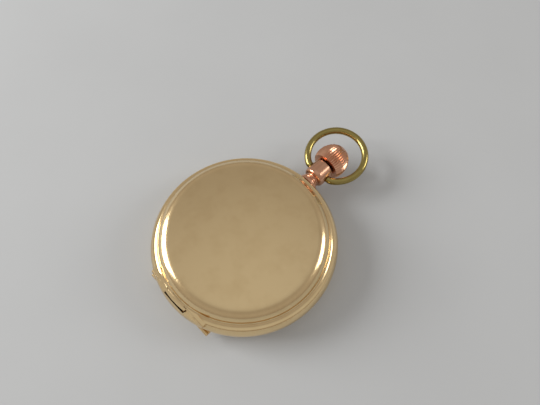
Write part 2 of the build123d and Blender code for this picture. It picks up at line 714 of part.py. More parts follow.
with BuildPart() as centre_wheel:
    toothed_wheel(
        CENTRE,
        CENTRE_LEVEL,
        teeth_outline(CENTRE_TEETH, CENTRE_MODULE, gap_at(bearing(CENTRE, THIRD), CENTRE_TEETH)),
        5.6,
        5,
        0,
    )
    pinion(
        CENTRE,
        6.55,
        7.3,
        teeth_outline(
            CENTRE_LEAVES, BARREL_MODULE, bearing(CENTRE, BARREL), 0.6, 1.3, 0.36, 0.2
        ),
    )
    disc(CENTRE, PLATE_TOP + 0.05, BRIDGE_Z - 0.05, 0.6)
    disc(CENTRE, PLATE_Z - 1.5, BRIDGE_Z + 0.6, 0.4)
save("centre_wheel", centre_wheel.part)

with BuildPart() as third_wheel:
    toothed_wheel(
        THIRD,
        THIRD_LEVEL,
        teeth_outline(THIRD_TEETH, THIRD_MODULE, gap_at(bearing(THIRD, FOURTH), THIRD_TEETH)),
        4.1,
        5,
        0,
    )
    pinion(
        THIRD,
        8.05,
        8.7,
        teeth_outline(THIRD_LEAVES, CENTRE_MODULE, bearing(THIRD, CENTRE), 0.6, 1.3, 0.36, 0.2),
    )
    arbor(THIRD, PLATE_TOP, BRIDGE_Z)
save("third_wheel", third_wheel.part)

with BuildPart() as fourth_wheel:
    toothed_wheel(
        FOURTH,
        FOURTH_LEVEL,
        teeth_outline(FOURTH_TEETH, FOURTH_MODULE, gap_at(bearing(FOURTH, ESCAPE), FOURTH_TEETH)),
        4.1,
        5,
        0,
    )
    pinion(
        FOURTH,
        6.55,
        7.1,
        teeth_outline(FOURTH_LEAVES, THIRD_MODULE, bearing(FOURTH, THIRD), 0.6, 1.3, 0.36, 0.2),
    )
    arbor(FOURTH, PLATE_TOP, BRIDGE_Z)
    disc(FOURTH, DIAL_Z - 0.75, PLATE_TOP, PIVOT_R)
save("fourth_wheel", fourth_wheel.part)

with BuildPart() as escape_wheel:
    # club teeth: each leans forward, with a broad foot and a short impulse face
    outline = []
    for tooth in range(15):
        at = 24 * tooth
        outline += [
            polar((0, 0), ESCAPE_R - 0.95, at - 9.0),
            polar((0, 0), ESCAPE_R - 0.12, at - 2.6),
            polar((0, 0), ESCAPE_R, at),
            polar((0, 0), ESCAPE_R - 0.45, at - 1.6),
            polar((0, 0), ESCAPE_R - 0.95, at + 1.0),
        ]
    toothed_wheel(ESCAPE, ESCAPE_LEVEL, outline, 2.4, 4, 0, 0.35, 0.7)
    pinion(
        ESCAPE,
        7.6,
        8.15,
        teeth_outline(ESCAPE_LEAVES, FOURTH_MODULE, bearing(ESCAPE, FOURTH), 0.6, 1.3, 0.34, 0.2),
    )
    arbor(ESCAPE, PLATE_TOP, BRIDGE_Z)
save("escape_wheel", escape_wheel.part)

# ---- Escapement and balance --------------------------------------------------------------------
def bar(start, end, start_w, end_w):
    """Corners of a straight tapered bar between two points."""
    side = math.radians(bearing(start, end) + 90)
    dx, dy = math.cos(side), math.sin(side)
    return [
        (start[0] + dx * start_w / 2, start[1] + dy * start_w / 2),
        (end[0] + dx * end_w / 2, end[1] + dy * end_w / 2),
        (end[0] - dx * end_w / 2, end[1] - dy * end_w / 2),
        (start[0] - dx * start_w / 2, start[1] - dy * start_w / 2),
    ]


FORK_LINE = bearing(PALLET, BALANCE)
FORK_END = polar(BALANCE, 1.35, FORK_LINE + 180)
STONE_ANGLES = (0, 60)  # as seen from the escape wheel, either side of the pallet staff
STONE_R = ESCAPE_R + 0.35  # inner end of a stone, clear of the teeth
with BuildPart() as pallet_fork:
    with BuildSketch(Plane.XY.offset(ESCAPE_LEVEL)):
        with Locations(PALLET):
            Circle(0.75)
        for angle in STONE_ANGLES:
            Polygon(*bar(PALLET, polar(ESCAPE, STONE_R + 0.5, angle), 0.7, 0.55), align=None)
        Polygon(*bar(PALLET, FORK_END, 0.6, 0.42), align=None)
        with Locations(polar(FORK_END, 0.25, FORK_LINE + 180)):
            Circle(0.45)
        notch_end = polar(FORK_END, 1.0, FORK_LINE)
        Polygon(*bar(polar(FORK_END, 0.3, FORK_LINE + 180), notch_end, 0.3, 0.3), align=None,
                mode=Mode.SUBTRACT)
        for angle in STONE_ANGLES:
            stone = bar(polar(ESCAPE, STONE_R, angle), polar(ESCAPE, STONE_R + 0.9, angle), 0.3, 0.3)
            Polygon(*stone, align=None, mode=Mode.SUBTRACT)
    extrude(amount=WHEEL_T)
    arbor(PALLET, PLATE_TOP, 7.9, 0.28)
save("pallet_fork", pallet_fork.part)

with BuildPart() as pallet_stones:
    with BuildSketch(Plane.XY.offset(ESCAPE_LEVEL - 0.12)):
        for angle in STONE_ANGLES:
            stone = bar(polar(ESCAPE, STONE_R, angle), polar(ESCAPE, STONE_R + 0.9, angle), 0.3, 0.3)
            Polygon(*stone, align=None)
    extrude(amount=WHEEL_T + 0.24)
save("pallet_stones", pallet_stones.part)

BALANCE_LEVEL = 8.7
RIM_H = 0.6
RIM_W = 0.65
SCREW_COUNT = 12
COCK_Z = 9.9
with BuildPart() as balance_wheel:
    with BuildSketch(Plane(origin=(BALANCE[0], BALANCE[1], BALANCE_LEVEL))):
        Circle(BALANCE_R)
        Circle(BALANCE_R - RIM_W, mode=Mode.SUBTRACT)
    extrude(amount=RIM_H)
    with BuildSketch(Plane(origin=(BALANCE[0], BALANCE[1], BALANCE_LEVEL))):
        Circle(BALANCE_R - RIM_W)
        crossed_out(BALANCE_R - RIM_W, 1.1, 2, 0.9, 20)
        Circle(0.34, mode=Mode.SUBTRACT)
    extrude(amount=0.28)
save("balance_wheel", balance_wheel.part)

with BuildPart() as balance_screws:
    for screw in range(SCREW_COUNT):
        angle = 20 + 15 + 360 * screw / SCREW_COUNT
        out = Vector(math.cos(math.radians(angle)), math.sin(math.radians(angle)), 0)
        seat = Vector(BALANCE[0], BALANCE[1], BALANCE_LEVEL + RIM_H / 2) + out * (BALANCE_R - 0.004)
        with BuildSketch(Plane(origin=seat, z_dir=out)):
            RegularPolygon(0.27, 8)
        extrude(amount=0.45)
save("balance_screws", balance_screws.part)

with BuildPart() as balance_staff:
    disc(BALANCE, PLATE_TOP - JEWEL_T, COCK_Z + JEWEL_T, PIVOT_R)
    disc(BALANCE, PLATE_TOP + 0.05, COCK_Z - 0.05, 0.34)
    disc(BALANCE, 8.35, BALANCE_LEVEL, 0.8)
    disc(BALANCE, 9.35, 9.65, 0.6)
save("balance_staff", balance_staff.part)

ROLLER_LEVEL = 7.6
with BuildPart() as roller:
    disc(BALANCE, ROLLER_LEVEL, ROLLER_LEVEL + 0.3, 1.2)
    disc(BALANCE, ROLLER_LEVEL - 0.1, ROLLER_LEVEL + 0.4, 0.34, mode=Mode.SUBTRACT)
    disc(polar(BALANCE, 1.0, FORK_LINE + 180), ROLLER_LEVEL - 0.45, ROLLER_LEVEL, 0.12)
save("roller", roller.part)

# hairspring: a flat wire wound in half turns, swept along its centre line
HAIR_TURNS = 5
HAIR_INNER_R = 0.74
HAIR_OUTER_R = 3.5
HAIR_T = 0.1
HAIR_H = 0.14
HAIR_Z = 9.5
COCK_ANGLE = 75
hair_step = (HAIR_OUTER_R - HAIR_INNER_R) / (2 * HAIR_TURNS)
HAIR_PLANE = Plane(
    origin=(BALANCE[0], BALANCE[1], HAIR_Z),
    x_dir=(math.cos(math.radians(COCK_ANGLE)), math.sin(math.radians(COCK_ANGLE)), 0),
    z_dir=(0, 0, 1),
)
with BuildPart() as hairspring:
    with BuildLine(HAIR_PLANE) as hair_line:
        hair_start, hair_r, hair_sign = HAIR_INNER_R, HAIR_INNER_R, 1
        for _ in range(2 * HAIR_TURNS):
            hair_end = hair_start - hair_sign * (2 * hair_r + hair_step)
            ThreePointArc(
                (hair_start, 0),
                ((hair_start + hair_end) / 2, hair_sign * (hair_r + hair_step / 2)),
                (hair_end, 0),
            )
            hair_start, hair_r, hair_sign = hair_end, hair_r + hair_step, -hair_sign
    wire = hair_line.wires()[0]
    with BuildSketch(Plane(origin=wire @ 0, x_dir=(0, 0, 1), z_dir=wire % 0)):
        Rectangle(HAIR_H, HAIR_T)
    sweep()
save("hairspring", hairspring.part)

# least gap between neighbouring turns, on points one turn apart
points = [wire @ (step / 400) for step in range(401)]
gaps = [
    (a - b).length
    for i, a in enumerate(points)
    for j, b in enumerate(points)
    if j > i and wire.length * (j - i) / 400 > 3.0
]
print("hairspring least gap to itself", round(min(gaps) - HAIR_T, 3))

STUD = polar(BALANCE, hair_start, COCK_ANGLE)
with BuildPart() as hairspring_stud:
    with BuildSketch(HAIR_PLANE.offset(-0.15)):
        with Locations((hair_start + 0.02, -0.28)):
            Rectangle(0.5, 0.5)
    extrude(amount=COCK_Z - HAIR_Z + 0.15)
save("hairspring_stud", hairspring_stud.part)

# ---- Motion work -------------------------------------------------------------------------------
MOTION_LEVEL = 4.9
HOUR_LEVEL = 4.5
CANNON_R = 0.68
HOUR_TUBE_R = 1.02
POST_R = 0.35
SETTING_TEETH = 22
SETTING_SPREAD = spread(SETTING_TEETH, MINUTE_TEETH, MOTION_MODULE)
SETTING = (0.0, MINUTE[1] + math.sqrt(SETTING_SPREAD**2 - MINUTE[0] ** 2))

with BuildPart() as cannon_pinion:
    pinion(
        CENTRE,
        4.8,
        5.35,
        teeth_outline(
            CANNON_LEAVES, MOTION_MODULE, bearing(CENTRE, MINUTE), 0.6, 1.25, 0.36, 0.2
        ),
    )
    disc(CENTRE, 2.3, 4.8, CANNON_R)
    disc(CENTRE, 2.0, 6.0, 0.405, mode=Mode.SUBTRACT)
save("cannon_pinion", cannon_pinion.part)

with BuildPart() as minute_wheel:
    toothed_wheel(
        MINUTE,
        MOTION_LEVEL,
        teeth_outline(MINUTE_TEETH, MOTION_MODULE, gap_at(bearing(MINUTE, CENTRE), MINUTE_TEETH)),
        2.6,
        0,
        0,
    )
    pinion(
        MINUTE,
        4.45,
        MOTION_LEVEL,
        teeth_outline(MINUTE_LEAVES, HOUR_MODULE, bearing(MINUTE, CENTRE), 0.6, 1.2, 0.36, 0.2),
    )
    disc(MINUTE, 4.4, 5.5, POST_R + RUN, mode=Mode.SUBTRACT)
save("minute_wheel", minute_wheel.part)

with BuildPart() as hour_wheel:
    toothed_wheel(
        CENTRE,
        HOUR_LEVEL,
        teeth_outline(HOUR_TEETH, HOUR_MODULE, gap_at(bearing(CENTRE, MINUTE), HOUR_TEETH)),
        2.6,
        0,
        0,
        t=0.22,
    )
    disc(CENTRE, 2.75, HOUR_LEVEL, HOUR_TUBE_R)
    disc(CENTRE, 2.0, 6.0, CANNON_R + RUN, mode=Mode.SUBTRACT)
save("hour_wheel", hour_wheel.part)

with BuildPart() as setting_wheel:
    toothed_wheel(
        SETTING,
        MOTION_LEVEL,
        teeth_outline(SETTING_TEETH, MOTION_MODULE, bearing(SETTING, MINUTE), 0.6, 1.1, 0.38, 0.2),
        1.8,
        0,
        POST_R + RUN,
    )
save("setting_wheel", setting_wheel.part)


# ---- Dial and hands ----------------------------------------------------------------------------
def clock_point(minutes, radius, centre=CENTRE):
    """A point at this many minutes clockwise from 12 as seen from the dial."""
    turn = math.radians(6 * minutes)
    return (centre[0] - radius * math.sin(turn), centre[1] + radius * math.cos(turn))


SHOWN_MINUTES = 8.5
SHOWN_HOURS = 10 + SHOWN_MINUTES / 60
SHOWN_SECONDS = 37
with BuildPart() as dial:
    disc(CENTRE, DIAL_Z, PLATE_Z, DIAL_R)
    disc(CENTRE, DIAL_Z - 1, PLATE_Z + 1, 1.3, mode=Mode.SUBTRACT)
    disc(FOURTH, DIAL_Z - 1, PLATE_Z + 1, 0.45, mode=Mode.SUBTRACT)
    disc(FOURTH, DIAL_Z - 1, DIAL_Z + 0.18, 5.0, mode=Mode.SUBTRACT)
    for minutes in (8, 27, 52):
        disc(clock_point(minutes, 19.3), PLATE_Z, PLATE_Z + 1.2, 0.45)
save("dial", dial.part)


def hand_outline(tip, length, tail, wide, narrow, centre=CENTRE):
    """A slim spade-free hand: widest near its middle, pointed, with a short tail."""
    belly = 0.3 * length
    axis = [(-tail, narrow / 2), (belly, wide / 2), (length, 0.0)]
    corners = axis + [(x, -y) for x, y in reversed(axis[:-1])]
    turn = math.radians(bearing(centre, tip))
    return [
        (
            centre[0] + x * math.cos(turn) - y * math.sin(turn),
            centre[1] + x * math.sin(turn) + y * math.cos(turn),
        )
        for x, y in corners
    ]


with BuildPart() as hour_hand:
    with BuildSketch(Plane.XY.offset(2.8)):
        Circle(1.45)
        Polygon(
            *hand_outline(clock_point(SHOWN_HOURS * 5, 9), 10.2, 1.4, 1.5, 0.7), align=None
        )
        Circle(HOUR_TUBE_R, mode=Mode.SUBTRACT)
    extrude(amount=0.2)
save("hour_hand", hour_hand.part)

with BuildPart() as minute_hand:
    with BuildSketch(Plane.XY.offset(2.3)):
        Circle(1.1)
        Polygon(*hand_outline(clock_point(SHOWN_MINUTES, 14), 15.6, 1.1, 1.1, 0.6), align=None)
        Circle(CANNON_R, mode=Mode.SUBTRACT)
    extrude(amount=0.2)
save("minute_hand", minute_hand.part)

with BuildPart() as seconds_hand:
    with BuildSketch(Plane.XY.offset(3.25)):
        with Locations(FOURTH):
            Circle(0.42)
        tip = clock_point(SHOWN_SECONDS, 3.9, FOURTH)
        Polygon(*hand_outline(tip, 4.1, 1.5, 0.28, 0.3, FOURTH), align=None)
        with Locations(FOURTH):
            Circle(PIVOT_R, mode=Mode.SUBTRACT)
    extrude(amount=0.18)
save("seconds_hand", seconds_hand.part)

# ---- Winding and setting -----------------------------------------------------------------------
PULL = 1.2  # travel of the crown between winding and setting
CLUTCH_TRAVEL = 0.7
SQUARE = 0.8
SQUARE_FIT = 0.03
CLUTCH_L = 1.85
CLUTCH_R = 1.3
WINDER_L = 1.4
FACE_R = WINDING_MODULE * CROWN_WHEEL_TEETH / 2  # circle of the crown wheel's face teeth
FACE_L = 0.5
WINDER_R = FACE_R * WINDING_LEAVES / CROWN_WHEEL_TEETH  # pitch radius against them
WINDER_Y = CROWN_WHEEL[1] + FACE_R - FACE_L / 2
CLUTCH_Y = WINDER_Y - 0.08 - CLUTCH_L
PIVOT_END_Y = 9.7
GROOVE_Y = 17.45
GROOVE_W = 0.5
GROOVE_R = 0.38

with BuildPart() as stem:
    with BuildSketch(STEM_PLANE):
        with BuildLine():
            Polyline(
                (PIVOT_END_Y, 0),
                (PIVOT_END_Y, 0.33),
                (WINDER_Y - 2.7, 0.33),
                (WINDER_Y - 2.7, STEM_R),
                (GROOVE_Y - GROOVE_W / 2, STEM_R),
                (GROOVE_Y - GROOVE_W / 2, GROOVE_R),
                (GROOVE_Y + GROOVE_W / 2, GROOVE_R),
                (GROOVE_Y + GROOVE_W / 2, STEM_R),
                (CROWN_Y + 5.0, STEM_R),
                (CROWN_Y + 5.0, 0),
                (PIVOT_END_Y, 0),
            )
        make_face()
    revolve(axis=STEM_AXIS)
    # the square that carries the clutch
    with BuildSketch(Plane(origin=(0, WINDER_Y - 2.7, RIM_Z), x_dir=(1, 0, 0), z_dir=(0, 1, 0))):
        Circle(STEM_R + 0.1)
        Rectangle(SQUARE, SQUARE, mode=Mode.SUBTRACT)
    extrude(amount=2.65, mode=Mode.SUBTRACT)
save("stem", stem.part)


def across_stem(y):
    """The plane square to the stem at this distance from the case axis."""
    return Plane(origin=(0, y, RIM_Z), x_dir=(1, 0, 0), z_dir=(0, 1, 0))


with BuildPart() as sliding_clutch:
    with BuildSketch(across_stem(CLUTCH_Y)):
        Circle(CLUTCH_R)
    extrude(amount=CLUTCH_L)
    with BuildSketch(across_stem(CLUTCH_Y + 0.75)):
        Circle(CLUTCH_R + 0.1)
        Circle(CLUTCH_R - 0.35, mode=Mode.SUBTRACT)
    extrude(amount=0.42, mode=Mode.SUBTRACT)
    # face teeth at the inner end, towards the setting wheel
    with BuildSketch(across_stem(CLUTCH_Y)):
        with PolarLocations(CLUTCH_R - 0.15, 12):
            Rectangle(0.5, 0.28)
    extrude(amount=0.25, mode=Mode.SUBTRACT)
    with BuildSketch(across_stem(CLUTCH_Y - 0.1)):
        Rectangle(SQUARE + 2 * SQUARE_FIT, SQUARE + 2 * SQUARE_FIT)
    extrude(amount=CLUTCH_L + 0.2, mode=Mode.SUBTRACT)
save("sliding_clutch", sliding_clutch.part)

with BuildPart() as winding_pinion:
    with BuildSketch(across_stem(WINDER_Y)):
        Polygon(
            *teeth_outline(
                WINDING_LEAVES, 2 * WINDER_R / WINDING_LEAVES, 90, 0.4, 1.2, 0.36, 0.22
            ),
            align=None,
        )
        Circle(STEM_R + RUN, mode=Mode.SUBTRACT)
    extrude(amount=WINDER_L)
save("winding_pinion", winding_pinion.part)

FACE_LEVEL = RIM_Z + WINDER_R + 0.02  # foot of the crown wheel's face teeth
CROWN_WHEEL_TOP = RATCHET_LEVEL + 0.3
with BuildPart() as crown_wheel:
    with BuildSketch(Plane(origin=(*CROWN_WHEEL, RATCHET_LEVEL))):
        Polygon(
            *teeth_outline(
                CROWN_WHEEL_TEETH,
                WINDING_MODULE,
                gap_at(bearing(CROWN_WHEEL, RATCHET), CROWN_WHEEL_TEETH),
                0.8,
                1.1,
                0.4,
            ),
            align=None,
        )
    extrude(amount=CROWN_WHEEL_TOP - RATCHET_LEVEL)
    with BuildSketch(Plane(origin=(*CROWN_WHEEL, FACE_LEVEL + 0.15))):
        Circle(FACE_R + FACE_L / 2)
    extrude(amount=RATCHET_LEVEL - FACE_LEVEL - 0.15)
    with BuildSketch(Plane(origin=(*CROWN_WHEEL, FACE_LEVEL))):
        with PolarLocations(FACE_R, CROWN_WHEEL_TEETH, start_angle=90 + 180 / CROWN_WHEEL_TEETH):
            Rectangle(FACE_L, 0.3)
    extrude(amount=0.15)
    disc(CROWN_WHEEL, FACE_LEVEL - 0.1, RATCHET_LEVEL - 0.2, 2.2, mode=Mode.SUBTRACT)
    disc(CROWN_WHEEL, FACE_LEVEL - 0.1, CROWN_WHEEL_TOP + 0.1, 0.95 + RUN, mode=Mode.SUBTRACT)
save("crown_wheel", crown_wheel.part)

with BuildPart() as crown_wheel_core:
    disc(CROWN_WHEEL, RATCHET_LEVEL - 0.55, RATCHET_LEVEL - 0.22, 1.55)
    disc(CROWN_WHEEL, RATCHET_LEVEL - 0.22, BRIDGE_Z, 0.95)
    disc(CROWN_WHEEL, BRIDGE_Z, BRIDGE_Z + BRIDGE_T, SCREW_R)
save("crown_wheel_core", crown_wheel_core.part)

with BuildPart() as ratchet_wheel:
    with BuildSketch(Plane(origin=(*RATCHET, RATCHET_LEVEL))):
        Polygon(
            *teeth_outline(
                RATCHET_TEETH,
                WINDING_MODULE,
                bearing(RATCHET, CROWN_WHEEL),
                0.8,
                1.1,
                0.4,
            ),
            align=None,
        )
        Circle(ARBOR_R * 2, mode=Mode.SUBTRACT)
    extrude(amount=0.3)
save("ratchet_wheel", ratchet_wheel.part)

# click: a short pawl that rests beside the ratchet teeth, pressed by a bent wire spring
RATCHET_TIP_R = WINDING_MODULE * (RATCHET_TEETH / 2 + 0.8)
CLICK = polar(RATCHET, RATCHET_TIP_R + 1.6, 100)
CLICK_TIP = polar(RATCHET, RATCHET_TIP_R + 0.12, 84)
with BuildPart() as click:
    with BuildSketch(Plane.XY.offset(RATCHET_LEVEL)):
        with Locations(CLICK):
            Circle(0.8)
        Polygon(*bar(CLICK, CLICK_TIP, 1.2, 0.3), align=None)
        with Locations(CLICK):
            Circle(POST_R + RUN, mode=Mode.SUBTRACT)
    extrude(amount=0.3)
save("click", click.part)

with BuildPart() as click_screw:
    disc(CLICK, RATCHET_LEVEL - 0.3, RATCHET_LEVEL - 0.03, 0.7)
    disc(CLICK, RATCHET_LEVEL - 0.03, BRIDGE_Z + 0.8, POST_R)
save("click_screw", click_screw.part)

SPRING_FOOT = polar(CLICK, 4.2, 20)
with BuildPart() as click_spring:
    with BuildSketch(Plane.XY.offset(RATCHET_LEVEL + 0.02)):
        Polygon(*bar(SPRING_FOOT, polar(CLICK, 1.0, 20), 0.3, 0.16), align=None)
        with Locations(SPRING_FOOT):
            Circle(0.6)
    extrude(amount=BRIDGE_Z - RATCHET_LEVEL - 0.02)
save("click_spring", click_spring.part)

# setting lever with its pin in the groove of the stem, and the yoke in the clutch
LEVER_Z = 4.75
LEVER_T = 0.45
LEVER_PIVOT = (2.6, GROOVE_Y + PULL / 2)
with BuildPart() as setting_lever:
    with BuildSketch(Plane.XY.offset(LEVER_Z)):
        with Locations(LEVER_PIVOT):
            Circle(0.8)
        Polygon(*bar(LEVER_PIVOT, (0, GROOVE_Y), 1.1, 0.6), align=None)
        with Locations((0, GROOVE_Y)):
            Circle(0.3)
        with Locations(LEVER_PIVOT):
            Circle(POST_R + RUN, mode=Mode.SUBTRACT)
    extrude(amount=LEVER_T)
    disc((0, GROOVE_Y), LEVER_Z + LEVER_T, RIM_Z - GROOVE_R - 0.07, 0.16)
save("setting_lever", setting_lever.part)

YOKE_GROOVE_Y = CLUTCH_Y + 0.75 + 0.21
YOKE_PIVOT = (-3.4, YOKE_GROOVE_Y - CLUTCH_TRAVEL / 2)
with BuildPart() as clutch_lever:
    with BuildSketch(Plane.XY.offset(LEVER_Z)):
        with Locations(YOKE_PIVOT):
            Circle(0.8)
        Polygon(*bar(YOKE_PIVOT, (0, YOKE_GROOVE_Y), 0.9, 0.24), align=None)
        with Locations(YOKE_PIVOT):
            Circle(POST_R + RUN, mode=Mode.SUBTRACT)
    extrude(amount=LEVER_T)
    with BuildSketch(Plane.XY.offset(LEVER_Z + LEVER_T)):
        with Locations((0, YOKE_GROOVE_Y)):
            Rectangle(0.5, 0.24)
    extrude(amount=0.18)
save("clutch_lever", clutch_lever.part)

# ---- Frame of the movement ---------------------------------------------------------------------
UPPER_FEET = [polar(CENTRE, 18.2, angle) for angle in (118, 62, 30, 170)]
LOWER_FEET = [polar(CENTRE, 18.2, angle) for angle in (-172, -130, -93, -68)]
FOOT_R = 0.9
SPLIT_Y = 1.7
BALANCE_ROOM = BALANCE_R + 0.85
COCK_FOOT = polar(BALANCE, BALANCE_R + 2.3, COCK_ANGLE)
COCK_FOOT_R = 1.45
PALLET_FOOT = polar(PALLET, 3.3, -45)
CASE_SCREW_R = 20.1
CASE_SCREWS = [polar(CENTRE, CASE_SCREW_R, angle) for angle in (75, -82, 196)]

with BuildPart() as main_plate:
    disc(CENTRE, PLATE_Z, PLATE_TOP, PLATE_R)
    # recess for the motion work and the setting wheel, on the dial side
    with BuildSketch(Plane.XY.offset(PLATE_Z)):
        Circle(MOTION_R)
        with Locations(SETTING):
            Circle(2.9)
    extrude(amount=MOTION_DEPTH, mode=Mode.SUBTRACT)
    # posts of the minute wheel and the setting wheel
    for post in (MINUTE, SETTING):
        disc(post, PLATE_Z + 0.02, PLATE_Z + MOTION_DEPTH, POST_R)
    # slot of the winding pinion and clutch, and pockets of the two levers
    with BuildSketch(Plane.XY.offset(PLATE_Z - 0.1)):
        with Locations((0, (11.6 + 16.0) / 2)):
            Rectangle(4.1, 16.0 - 11.6)
    extrude(amount=PLATE_TOP - PLATE_Z + 0.2, mode=Mode.SUBTRACT)
    with BuildSketch(Plane.XY.offset(PLATE_Z - 0.1)):
        with Locations(((LEVER_PIVOT[0] + 0.1) / 2, LEVER_PIVOT[1] - 0.2)):
            Rectangle(LEVER_PIVOT[0] + 2.2, 3.2)
        with Locations((-3.2, YOKE_PIVOT[1])):
            Rectangle(2.6, 2.6)
    extrude(amount=LEVER_Z + LEVER_T + 0.05 - PLATE_Z + 0.1, mode=Mode.SUBTRACT)
    for post in (LEVER_PIVOT, YOKE_PIVOT):
        disc(post, PLATE_Z + 0.1, LEVER_Z + LEVER_T + 0.05, POST_R)
    with BuildSketch(Plane.XY.offset(PLATE_Z + 0.5)):
        with Locations((0, GROOVE_Y + PULL / 2)):
            Rectangle(0.7, PULL + 0.7)
    extrude(amount=PLATE_TOP - PLATE_Z, mode=Mode.SUBTRACT)
    # bearing for the stem's pivot, then the stem's channel
    with BuildSketch(Plane.XY.offset(PLATE_TOP)):
        with Locations((0, 10.3)):
            Rectangle(1.8, 2.0)
    extrude(amount=0.95)
    with BuildSketch(across_stem(9.4)):
        Circle(0.33 + RUN)
    extrude(amount=2.6, mode=Mode.SUBTRACT)
    with BuildSketch(across_stem(15.9)):
        Circle(STEM_R + 0.1)
    extrude(amount=7.0, mode=Mode.SUBTRACT)
    # bearings of the train
    disc(CENTRE, PLATE_Z, PLATE_TOP + 0.1, 0.4 + PIVOT_FIT, mode=Mode.SUBTRACT)
    disc(BARREL, PLATE_TOP - 0.8, PLATE_TOP + 0.1, ARBOR_R * 2 + PIVOT_FIT, mode=Mode.SUBTRACT)
    for pivot in (THIRD, FOURTH, ESCAPE, PALLET, BALANCE):
        disc(pivot, PLATE_TOP - JEWEL_T, PLATE_TOP + 0.1, JEWEL_R, mode=Mode.SUBTRACT)
        disc(pivot, PLATE_Z - 0.1, PLATE_TOP, 0.28, mode=Mode.SUBTRACT)
    # holes for the dial feet and the case screws
    for minutes in (8, 27, 52):
        disc(clock_point(minutes, 19.3), PLATE_Z, PLATE_Z + 1.3, 0.45, mode=Mode.SUBTRACT)
    for screw in CASE_SCREWS:
        disc(screw, PLATE_Z + 0.4, PLATE_TOP + 0.1, SCREW_R, mode=Mode.SUBTRACT)
    for foot in UPPER_FEET + LOWER_FEET + [COCK_FOOT, PALLET_FOOT]:
        disc(foot, PLATE_Z + 0.4, PLATE_TOP + 0.1, SCREW_R, mode=Mode.SUBTRACT)
save("main_plate", main_plate.part)


def bridge(feet, side):
    """One of the two halves of the upper plate, standing on its feet; used inside a part."""
    with BuildSketch(Plane.XY.offset(BRIDGE_Z)) as face:
        Circle(BRIDGE_R)
        with Locations((0, SPLIT_Y + side * (0.06 + BRIDGE_R))):
            Rectangle(2.2 * BRIDGE_R, 2 * BRIDGE_R, mode=Mode.INTERSECT)
        with Locations(BALANCE):
            Circle(BALANCE_ROOM, mode=Mode.SUBTRACT)
        with Locations(COCK_FOOT):
            Circle(COCK_FOOT_R + 0.15, mode=Mode.SUBTRACT)
        Polygon(*bar(BALANCE, COCK_FOOT, 3.0, 3.0), align=None, mode=Mode.SUBTRACT)
        with Locations((BALANCE[0] + 5, BALANCE[1] + 3)):
            Rectangle(10, 6, mode=Mode.SUBTRACT)
    extrude(face.sketch, amount=BRIDGE_T)
    for foot in feet:
        disc(foot, PLATE_TOP, BRIDGE_Z, FOOT_R)
        disc(foot, PLATE_TOP - 0.1, BRIDGE_Z + BRIDGE_T, SCREW_R, mode=Mode.SUBTRACT)
        disc(foot, BRIDGE_Z + BRIDGE_T - HEAD_T, BRIDGE_Z + BRIDGE_T, HEAD_R, mode=Mode.SUBTRACT)


with BuildPart() as barrel_bridge:
    bridge(UPPER_FEET, 1)
    disc(BARREL, BRIDGE_Z - 0.1, BRIDGE_Z + 0.6, ARBOR_R * 2 + PIVOT_FIT, mode=Mode.SUBTRACT)
    disc(CROWN_WHEEL, BRIDGE_Z - 0.1, BRIDGE_Z + BRIDGE_T, SCREW_R, mode=Mode.SUBTRACT)
    disc(CLICK, BRIDGE_Z - 0.1, BRIDGE_Z + 0.8, POST_R, mode=Mode.SUBTRACT)
save("barrel_bridge", barrel_bridge.part)

with BuildPart() as train_bridge:
    bridge(LOWER_FEET, -1)
    disc(CENTRE, BRIDGE_Z - 0.1, BRIDGE_Z + BRIDGE_T + 0.1, 0.4 + PIVOT_FIT, mode=Mode.SUBTRACT)
    for pivot in (THIRD, FOURTH, ESCAPE):
        disc(pivot, BRIDGE_Z - 0.1, BRIDGE_Z + JEWEL_T, JEWEL_R, mode=Mode.SUBTRACT)
        disc(pivot, BRIDGE_Z, BRIDGE_Z + BRIDGE_T, 0.28, mode=Mode.SUBTRACT)
save("train_bridge", train_bridge.part)

PALLET_COCK_Z = 7.9
with BuildPart() as pallet_cock:
    with BuildSketch(Plane.XY.offset(PALLET_COCK_Z)):
        with Locations(PALLET):
            Circle(1.1)
        with Locations(PALLET_FOOT):
            Circle(1.0)
        Polygon(*bar(PALLET, PALLET_FOOT, 1.6, 1.6), align=None)
    extrude(amount=0.6)
    disc(PALLET_FOOT, PLATE_TOP, PALLET_COCK_Z, 1.0)
    disc(PALLET_FOOT, PLATE_TOP, PALLET_COCK_Z + 0.6, SCREW_R, mode=Mode.SUBTRACT)
    disc(PALLET, PALLET_COCK_Z - 0.1, PALLET_COCK_Z + 0.45, JEWEL_R, mode=Mode.SUBTRACT)
    disc(PALLET, PALLET_COCK_Z, PALLET_COCK_Z + 0.7, 0.28, mode=Mode.SUBTRACT)
save("pallet_cock", pallet_cock.part)

COCK_T = 0.9
with BuildPart() as balance_cock:
    with BuildSketch(Plane.XY.offset(COCK_Z)):
        with Locations(BALANCE):
            Circle(1.9)
        with Locations(COCK_FOOT):
            Circle(COCK_FOOT_R)
        Polygon(*bar(BALANCE, COCK_FOOT, 2.6, 2.7), align=None)
    extrude(amount=COCK_T)
    disc(COCK_FOOT, PLATE_TOP, COCK_Z, COCK_FOOT_R)
    disc(COCK_FOOT, PLATE_TOP, COCK_Z + COCK_T, SCREW_R, mode=Mode.SUBTRACT)
    disc(COCK_FOOT, COCK_Z + COCK_T - HEAD_T, COCK_Z + COCK_T, HEAD_R, mode=Mode.SUBTRACT)
    disc(BALANCE, COCK_Z - 0.1, COCK_Z + JEWEL_T, JEWEL_R, mode=Mode.SUBTRACT)
    disc(BALANCE, COCK_Z, COCK_Z + COCK_T, 0.28, mode=Mode.SUBTRACT)
save("balance_cock", balance_cock.part)

